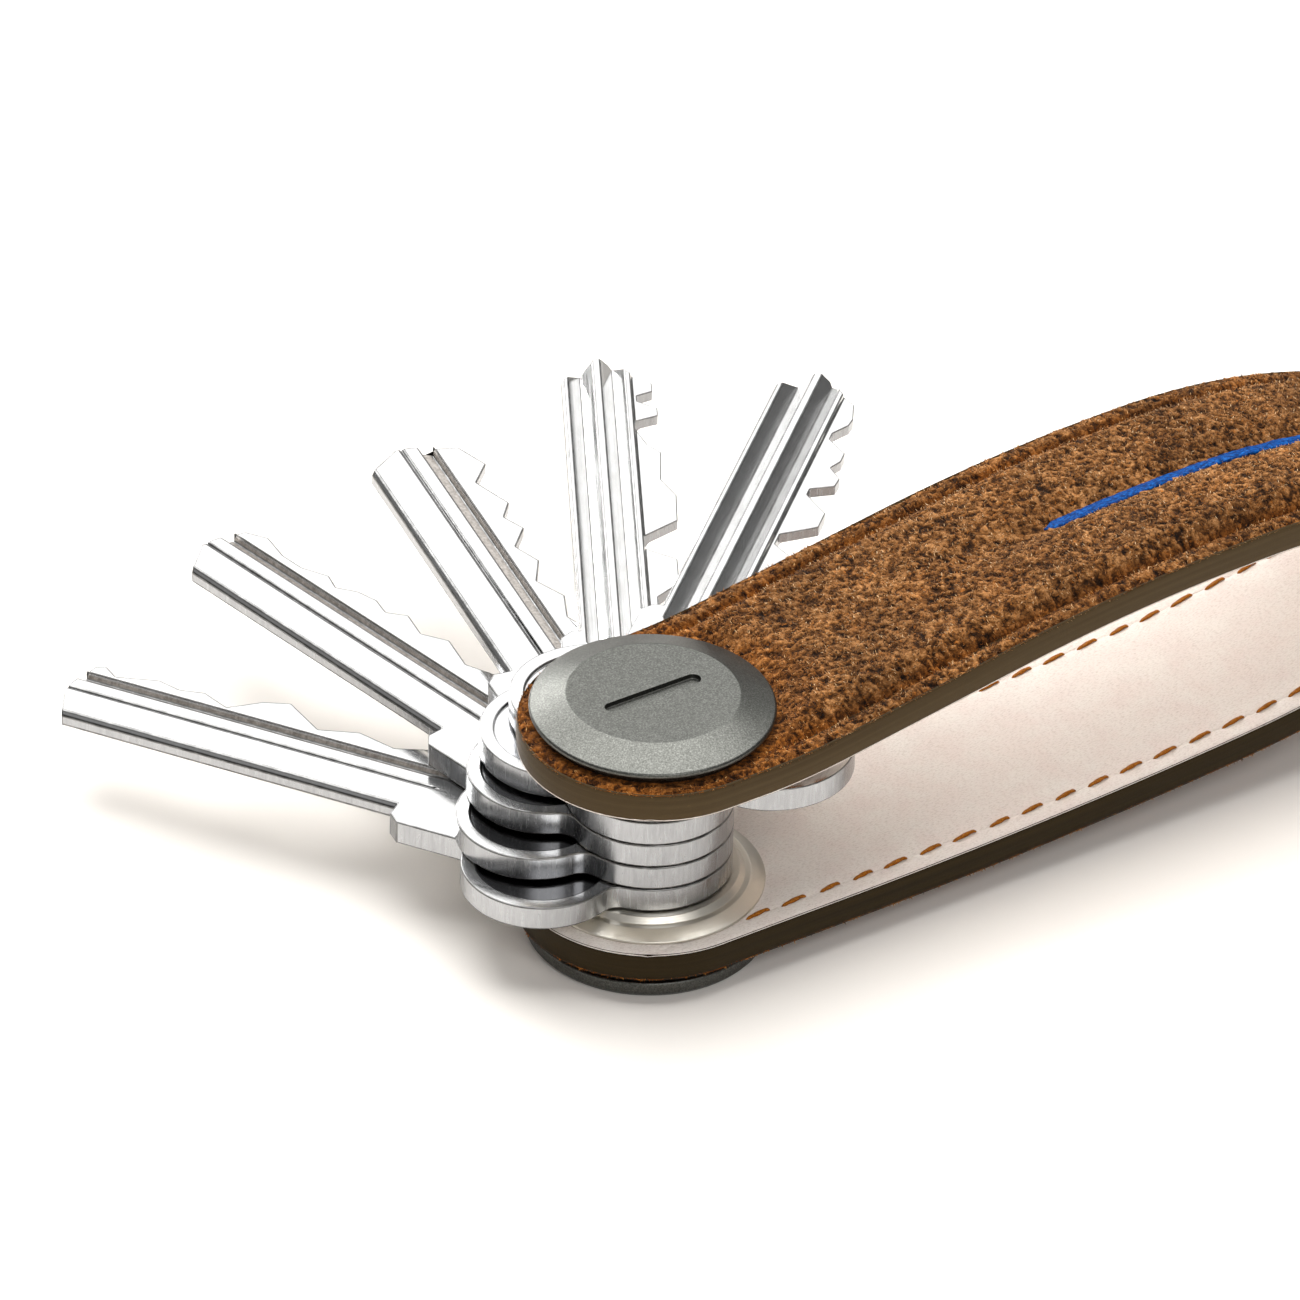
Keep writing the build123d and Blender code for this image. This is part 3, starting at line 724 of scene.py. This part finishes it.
def make_nap():
    """Loose fibres of the suede, as slim closed spikes with three corners and a tip."""
    chance = np.random.default_rng(7)
    s, y, *lean = (np.concatenate(both) for both in zip(scatter_tufts(chance), scatter_fringe(chance)))
    lean = np.stack(lean, -1)
    lean /= np.linalg.norm(lean, axis=1, keepdims=True)
    count = len(s)
    length = chance.uniform(0.20, 0.44, count)
    length[-FRINGE:] *= 0.8
    root = suede_relief(s, y) - ROOT_DEPTH
    width = chance.uniform(0.04, 0.075, count)
    spin = chance.uniform(0, 2 * math.pi, count)
    corners = [strap_points(s + width * np.cos(spin + k), y + width * np.sin(spin + k), -root)
               for k in (0, 2.1, 4.2)]
    tip = strap_points(s + length * lean[:, 0], y + length * lean[:, 1],
                       -root - length * lean[:, 2] - ROOT_DEPTH)
    points = np.stack(corners + [tip], 1).reshape(-1, 3)
    base = 4 * np.arange(count)[:, None]
    faces = np.concatenate([base + np.array(f) for f in ((0, 2, 1), (0, 1, 3), (1, 2, 3), (2, 0, 3))])
    piece = add_mesh("suede_nap", points, faces.tolist())
    # random tone per fibre, plus painted shade where the nap dips and at the root, and a painted
    # highlight at the tip
    tone = np.clip(chance.normal(0.47, 0.2, count) + 0.5 * clumps(s, y), 0, 1)
    point_layer(piece, "tone", (tone[:, None] + np.array([-0.2, -0.2, -0.2, 0.12])).ravel())
    point_layer(piece, "pressed", np.repeat(pressed_share(s, y), 4))
    piece.data.materials.append(nap_material())
    blend_across_fold(piece)


EDGE_SHARES = -0.34, 1.28    # where the painted edge starts and ends, in shares of the core's depth


def edge_swell(share, s):
    """The painted edge is crowned, and covers the sides of the suede and of the lining."""
    place = (share - EDGE_SHARES[0]) / (EDGE_SHARES[1] - EDGE_SHARES[0])
    return -0.06 + 0.16 * math.sin(math.pi * min(max(place, 0), 1)) ** 0.6


def make_core():
    rows = rows_of(((FOLD_S - 12, 1.2), (FOLD_S + 12, 0.5), (STRAP_LENGTH, 1.2)))
    piece = strap_solid("strap_core", rows, columns_of(CORE_COLUMNS), lambda s, y: np.zeros_like(s),
                        SUEDE, SUEDE + CORE, bulge=edge_swell,
                        walls=(0, *np.linspace(*EDGE_SHARES, 12), 1.0))
    piece.data.materials.append(edge_material())
    across_fold(piece, "core", "lower_core", "upper_core")


def seam_distance(y):
    return np.minimum(np.abs(y - NEAR_ROW_Y), np.abs(y - FAR_ROW_Y))


def lining_relief(s, y):
    inset = edge_inset(s, y)
    seam = 0.05 * hump(seam_distance(y), 0.55) + 0.07 * hump(seam_distance(y), 0.16)
    edge = 0.12 * (1 - smooth(0, 0.4, inset))
    wave = 0.012 * value_noise(s * 0.5, y * 0.5, 17)
    return wave - seam - edge


def make_lining():
    rows = rows_of(((FOLD_S - 12, 0.5), (FOLD_S + 12, 0.3), (STRAP_LENGTH, 0.8)))
    seams = [row_y / HALF_WIDTH + step / HALF_WIDTH
             for row_y in (NEAR_ROW_Y, FAR_ROW_Y) for step in np.linspace(-0.4, 0.4, 9)]
    piece = strap_solid("strap_lining", rows, columns_of(LINING_COLUMNS, seams), lining_relief,
                        THICK, SUEDE + CORE, walls=(0.5, 1.0), bulge=lambda share, s: -0.05)
    piece.data.materials.append(lining_material())
    across_fold(piece, "lining", "lower_lining", "upper_lining")


def tube_faces(base, rings, sides):
    """Faces of a closed tube whose points start at base, ring by ring."""
    faces = []
    for i in range(rings - 1):
        for k in range(sides):
            n = (k + 1) % sides
            faces.append((base + i * sides + k, base + i * sides + n,
                          base + (i + 1) * sides + n, base + (i + 1) * sides + k))
    last = base + (rings - 1) * sides
    return faces + [tuple(range(base + sides - 1, base - 1, -1)), tuple(range(last, last + sides))]


def make_inlay():
    """Coloured strip along the valley of the upper arm, its ends tapered into the suede."""
    low, high = (corner.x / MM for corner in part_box("accent_inlay"))
    start, end = STRAP_LENGTH - HALF_WIDTH - high - 1.6, STRAP_LENGTH - HALF_WIDTH - low - 0.7
    across, count = 9, 260
    profile = np.linspace(-1, 1, across)
    points, strap = [], []
    for s in np.linspace(start, end, count):
        taper = float(smooth(0, 1.2, min(s - start, end - s)))
        ragged = 1 + 0.12 * float(value_noise(np.array(s), np.array(0.5), 41))
        half = 0.5 * (0.15 + 0.85 * taper) * ragged
        floor = -float(suede_shape(np.array(s), np.array(0.0)))
        lumps = 0.05 * value_noise(np.full(across, s * 2.2), profile * 1.5, 43)
        top = floor - 0.10 - 0.10 * taper * (1 - profile ** 2) - lumps
        depth = np.concatenate((top, np.full(across, floor + 0.2)))
        y = half * np.concatenate((profile, profile[::-1]))
        points.append(strap_points(s, y, depth))
        strap.append(np.stack((np.full(2 * across, s), y, depth), -1))
    faces = tube_faces(0, count, 2 * across)
    piece = add_mesh("accent_strip", np.concatenate(points), faces, np.concatenate(strap))
    piece.data.materials.append(inlay_material())
    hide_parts("accent_inlay")
    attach(piece, "upper_arm")


def make_stitches():
    """Both rows of stitches on the lining: two twisted plies that dive into a hole at each end."""
    points, faces = [], []
    rings, sides, twist, slant, sink = 17, 12, 2.4, 0.17, 0.08
    angle = 2 * math.pi * np.arange(sides) / sides
    for row_y in (NEAR_ROW_Y, FAR_ROW_Y):
        first = HALF_WIDTH + math.sqrt(PLATE_R ** 2 - row_y ** 2) + STITCH_GAP
        s, count = first, 0
        while s < STRAP_LENGTH - first:
            wobble = float(value_noise(np.array(count * 1.7), np.array(row_y), 51))
            length = THREAD_STRETCH * STITCH_LENGTH * (1 + 0.12 * wobble)
            faces += tube_faces(len(points) * sides, rings, sides)
            for t in np.linspace(0, 1, rings):
                end = abs(2 * t - 1)
                arch = 0.12 - 0.5 * end ** 6
                reach = THREAD_R * (1 - 0.55 * end ** 3)
                lobe = 0.72 + 0.28 * np.abs(np.cos(angle - twist * math.pi * t))
                across = reach * lobe * np.cos(angle) + slant * (2 * t - 1)
                up = 0.8 * reach * lobe * np.sin(angle)
                along = np.full(sides, s + (t - 0.5) * length)
                points.append(strap_points(along, row_y + across, THICK + arch + up - sink))
            s += STITCH_PITCH * (1 + 0.06 * wobble)
            count += 1
    piece = add_mesh("strap_stitches", np.concatenate(points), faces)
    piece.data.materials.append(thread_material())
    across_fold(piece, "thread", "lower_stitching", "upper_stitching")


# ---------------------------------------------------------------- metal parts kept from the CAD
WELD_REACH, FLAT_DEG = 0.002, 0.4


def soften(name, width, angle):
    """Rounded edges on a CAD node: weld, dissolve flat edges, bevel those sharper than the angle in
    degrees, and even out the normals. The width is in millimetres."""
    part = frame["nodes"][name]
    weld = part.modifiers.new("weld", "WELD")
    weld.merge_threshold = WELD_REACH * MM
    flat = part.modifiers.new("flat", "DECIMATE")
    flat.decimate_type, flat.angle_limit = "DISSOLVE", math.radians(FLAT_DEG)
    bevel = part.modifiers.new("bevel", "BEVEL")
    bevel.width, bevel.segments, bevel.limit_method = width * MM, 3, "ANGLE"
    bevel.angle_limit, bevel.miter_outer = math.radians(angle), "MITER_ARC"
    bevel.harden_normals, bevel.use_clamp_overlap = False, False
    even = part.modifiers.new("even", "WEIGHTED_NORMAL")
    even.keep_sharp = False
    return part


def dress(name, made, width, angle=28, edge_shade=None):
    """Soften a CAD node and give it its material, and give the bevels a second material, the painted
    edge shade, if there is one.
    """
    part = soften(name, width, angle)
    part.data.materials.clear()
    part.data.materials.append(made)
    if edge_shade:
        part.data.materials.append(edge_shade)
        bevel = part.modifiers["bevel"]
        bevel.material, bevel.profile = 1, 0.8


def make_metal():
    """The discs, plates, post, stud, eyelets and keys: CAD nodes with bevels and materials."""
    blasted = blasted_material()
    plate = turned_material("satin_plate", (0.70, 0.665, 0.59), 0.36)
    steel = turned_material("turned_steel", (0.55, 0.55, 0.54), 0.28)
    for name in ("lower_disc", "top_disc"):
        dress(name, blasted, 0.07, 12)
    for name in ("lower_inner_plate", "upper_inner_plate"):
        dress(name, plate, 0.06, 12)
    for name in ("post_barrel", "lower_eyelet", "upper_eyelet", "lock_stud"):
        dress(name, steel, 0.08)
    # painted shade on the keys' bevels, which outlines their edges
    edge_shade = edge_shade_material()
    for name, angle in KEY_ANGLES.items():
        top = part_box(name)[1].z / MM
        patina, width = (0.9, 0.14) if name in FLAT_KEYS else (0.0, 0.09)
        made = key_material(name + "_nickel", angle, top, patina, RECESS_SHADE_TONES[name])
        dress(name, made, width, edge_shade=edge_shade)


# ---------------------------------------------------------------- studio
AIM_RIGHT, AIM_UP = 0.0003, 0.0225    # what the camera looks at, along its own axes from the origin
VIEW_AZIMUTH, VIEW_ELEVATION, VIEW_ROLL, VIEW_DISTANCE = -34.28, 34.5, 1.66, 0.8
LENS, SENSOR = 271.1, 36.0
FLOOR_HALF = 2500
LIGHT_TARGET = Vector((0.03, 0.01, 0.01))


def make_camera():
    a, e, r = (math.radians(v) for v in (VIEW_AZIMUTH, VIEW_ELEVATION, VIEW_ROLL))
    back = Vector((math.sin(a) * math.cos(e), -math.cos(a) * math.cos(e), math.sin(e)))
    level = Vector((math.cos(a), math.sin(a), 0))
    upright = back.cross(level)
    right = math.cos(r) * level + math.sin(r) * upright
    up = back.cross(right)
    camera = bpy.data.objects.new("camera", bpy.data.cameras.new("camera"))
    camera.data.lens, camera.data.sensor_width = LENS, SENSOR
    camera.data.clip_start, camera.data.clip_end = 0.01, 20
    place = AIM_RIGHT * right + AIM_UP * up + VIEW_DISTANCE * back
    turn = Matrix((right, up, back)).transposed()
    camera.matrix_world = Matrix.Translation(place) @ turn.to_4x4()
    bpy.context.scene.collection.objects.link(camera)
    bpy.context.scene.camera = camera


def area_light(name, place, size, power):
    """Soft rectangular light turned to the middle of the part, in metres and watts."""
    data = bpy.data.lights.new(name, "AREA")
    data.shape, data.size, data.size_y = "RECTANGLE", size[0], size[1]
    data.energy = power
    light = bpy.data.objects.new(name, data)
    light.location = place
    light.rotation_mode = "QUATERNION"
    light.rotation_quaternion = (Vector(place) - LIGHT_TARGET).to_track_quat("Z", "Y")
    bpy.context.scene.collection.objects.link(light)


def make_world():
    """Dim surroundings: dark at the horizon and grey overhead, so that metal has contrast."""
    world = bpy.data.worlds.new("studio")
    bpy.context.scene.world = world
    world.use_nodes = True
    tree = world.node_tree
    high = components(tree, tree.nodes.new("ShaderNodeTexCoord").outputs["Generated"])["Z"]
    sky = ramp(tree, high, ((0.0, (0.05, 0.05, 0.05)), (0.35, (0.14, 0.14, 0.14)),
                            (0.9, (0.26, 0.26, 0.26))))
    tree.links.new(sky, tree.nodes["Background"].inputs["Color"])


def make_studio():
    reach = (-FLOOR_HALF, FLOOR_HALF)
    floor = add_mesh("floor", [(x, y, 0) for y in reach for x in reach], [(0, 1, 3, 2)])
    floor.data.materials.append(material("pale_floor", (0.90, 0.86, 0.81), 0.9, specular=0.1)[0])
    make_world()
    area_light("overhead", (0.20, 0.28, 1.0), (1.15, 1.0), 18.5)
    area_light("back_panel", (0.46, 0.80, 0.60), (0.9, 0.6), 1.9)
    area_light("back_left", (0.04, 0.96, 0.42), (0.5, 0.4), 6.5)
    area_light("front_fill", (-0.20, -0.85, 0.75), (0.8, 0.6), 5.0)
    view = bpy.context.scene.view_settings
    view.view_transform, view.look = "Standard", "None"


make_camera()
make_studio()
make_suede()
make_nap()
make_core()
make_lining()
make_inlay()
make_stitches()
make_metal()
